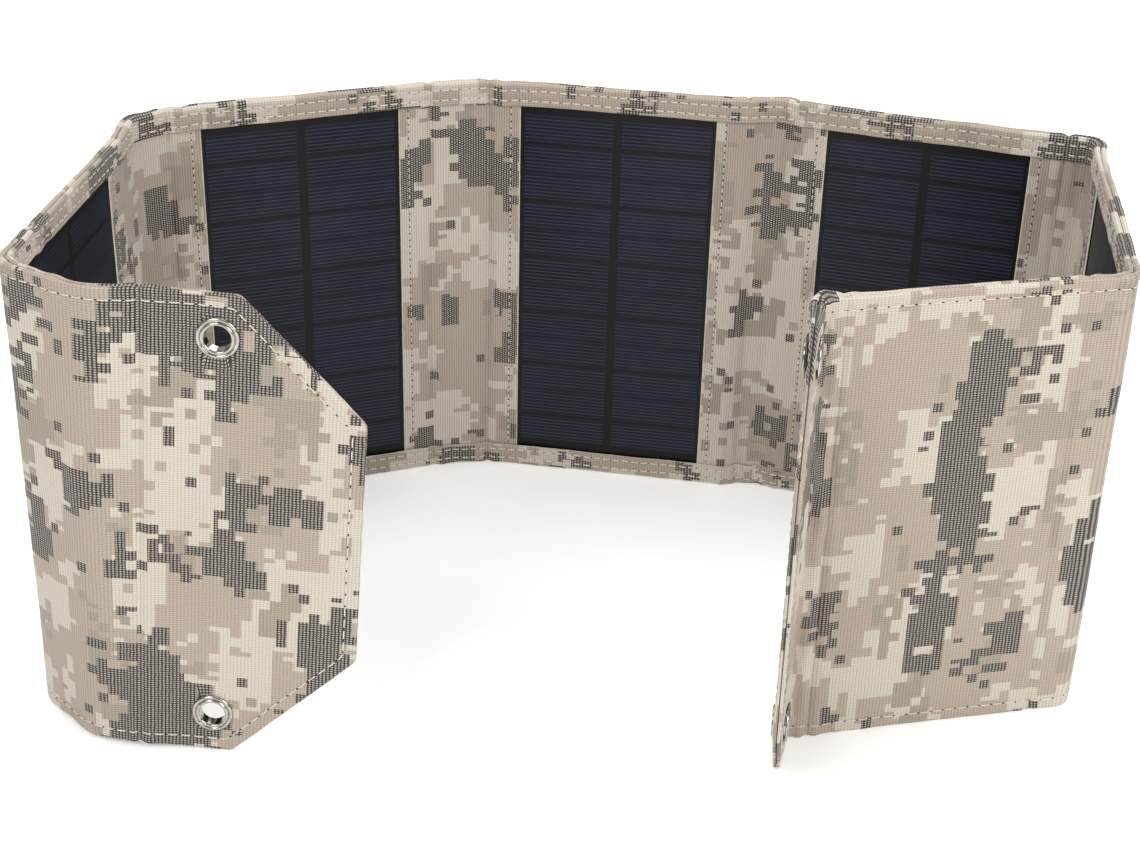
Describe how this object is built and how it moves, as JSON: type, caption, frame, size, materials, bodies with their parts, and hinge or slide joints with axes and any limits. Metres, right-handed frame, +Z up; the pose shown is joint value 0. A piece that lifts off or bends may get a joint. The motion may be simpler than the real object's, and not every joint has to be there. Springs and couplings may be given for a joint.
{
  "type": "folding fabric solar charger",
  "caption": "Folding solar charger in camouflage fabric, standing on its long edge in a C, with framed cell panels, soft folds and chamfered end flaps with metal eyelets.",
  "frame": {"origin": "middle of the bounding box, on the floor", "axes": "+X runs along the chain of panels from the left flap side to the right, +Y points away from the open side to the back panels, +Z up"},
  "size_m": [0.4336, 0.2848, 0.1969],
  "materials": {
    "outer_fabric": "woven polyester printed with square-edged camouflage",
    "inner_fabric": "woven polyester printed with square-edged camouflage",
    "solar_laminate": "dark blue cells under satin film",
    "stiffener_board": "plain board",
    "eyelet_nickel": "polished nickel plate",
    "lead_ribbon": "tinned copper ribbon in film",
    "regulator_case": "fine matt moulding",
    "circuit_board": "coated board",
    "socket_metal": "plated sheet"
  },
  "bodies": {
    "flap_left": {"flap_left_cover_fabric": "outer_fabric", "flap_left_lining_fabric": "inner_fabric", "flap_left_stiffener_sheet": "stiffener_board", "eyelet_left_upper": "eyelet_nickel", "eyelet_washer_left_upper": "eyelet_nickel", "eyelet_left_lower": "eyelet_nickel", "eyelet_washer_left_lower": "eyelet_nickel"},
    "panel_1": {"panel_1_cover_fabric": "outer_fabric", "panel_1_window_fabric": "inner_fabric", "panel_1_solar_laminate": "solar_laminate", "panel_1_stiffener_board": "stiffener_board", "fold_strip_flap_1": "outer_fabric"},
    "panel_2": {"panel_2_cover_fabric": "outer_fabric", "panel_2_window_fabric": "inner_fabric", "panel_2_solar_laminate": "solar_laminate", "panel_2_stiffener_board": "stiffener_board", "fold_strip_1_2": "outer_fabric", "lead_ribbon_1_2": "lead_ribbon"},
    "panel_3": {"panel_3_cover_fabric": "outer_fabric", "panel_3_window_fabric": "inner_fabric", "panel_3_solar_laminate": "solar_laminate", "panel_3_stiffener_board": "stiffener_board", "fold_strip_3_4": "outer_fabric", "lead_ribbon_3_4": "lead_ribbon", "fold_strip_2_3": "outer_fabric", "lead_ribbon_2_3": "lead_ribbon"},
    "panel_4": {"panel_4_cover_fabric": "outer_fabric", "panel_4_window_fabric": "inner_fabric", "panel_4_solar_laminate": "solar_laminate", "panel_4_stiffener_board": "stiffener_board", "fold_strip_4_5": "outer_fabric", "lead_ribbon_4_5": "lead_ribbon"},
    "panel_5": {"panel_5_cover_fabric": "outer_fabric", "panel_5_window_fabric": "inner_fabric", "panel_5_solar_laminate": "solar_laminate", "panel_5_stiffener_board": "stiffener_board", "fold_strip_5_6": "outer_fabric", "lead_ribbon_5_6": "lead_ribbon"},
    "panel_6": {"panel_6_cover_fabric": "outer_fabric", "panel_6_lining_fabric": "inner_fabric", "panel_6_stiffener_board": "stiffener_board", "pocket_pouch_fabric": "outer_fabric", "regulator_housing": "regulator_case", "regulator_lid": "regulator_case", "regulator_circuit_board": "circuit_board", "regulator_output_socket": "socket_metal", "regulator_feed_ribbon": "lead_ribbon", "fold_strip_6_flap": "outer_fabric"},
    "flap_right": {"flap_right_cover_fabric": "outer_fabric", "flap_right_lining_fabric": "inner_fabric", "flap_right_stiffener_sheet": "stiffener_board", "eyelet_right_upper": "eyelet_nickel", "eyelet_washer_right_upper": "eyelet_nickel", "eyelet_right_lower": "eyelet_nickel", "eyelet_washer_right_lower": "eyelet_nickel"}
  },
  "joints": [
    {"name": "fold_3_4", "type": "hinge", "parent": "panel_3", "child": "panel_4", "pos_m": [0.07963, 0.12386, 0.0975], "axis": [0, 0, -1], "range_deg": [-7.2, 28], "deforming": ["fold_strip_3_4", "lead_ribbon_3_4"]},
    {"name": "fold_4_5", "type": "hinge", "parent": "panel_4", "child": "panel_5", "pos_m": [0.21213, 0.08436, 0.0975], "axis": [0, 0, -1], "range_deg": [-79.7, 14], "deforming": ["fold_strip_4_5", "lead_ribbon_4_5"]},
    {"name": "fold_5_6", "type": "hinge", "parent": "panel_5", "child": "panel_6", "pos_m": [0.19844, -0.04674, 0.0975], "axis": [0, 0, -1], "range_deg": [-71.6, 42], "deforming": ["fold_strip_5_6", "lead_ribbon_5_6"]},
    {"name": "fold_6_flap", "type": "hinge", "parent": "panel_6", "child": "flap_right", "pos_m": [0.08013, -0.07514, 0.0975], "axis": [0, 0, -1], "range_deg": [-45, 68.9], "deforming": ["fold_strip_6_flap"]},
    {"name": "fold_2_3", "type": "hinge", "parent": "panel_3", "child": "panel_2", "pos_m": [-0.05937, 0.13556, 0.0975], "axis": [0, 0, 1], "range_deg": [-28.6, 49], "deforming": ["fold_strip_2_3", "lead_ribbon_2_3"]},
    {"name": "fold_1_2", "type": "hinge", "parent": "panel_2", "child": "panel_1", "pos_m": [-0.19037, 0.08336, 0.0975], "axis": [0, 0, 1], "range_deg": [-61.5, 49], "deforming": ["fold_strip_1_2", "lead_ribbon_1_2"]},
    {"name": "fold_1_flap", "type": "hinge", "parent": "panel_1", "child": "flap_left", "pos_m": [-0.19637, -0.07364, 0.0975], "axis": [0, 0, 1], "range_deg": [-95.9, 83], "deforming": ["fold_strip_flap_1"]}
  ]
}
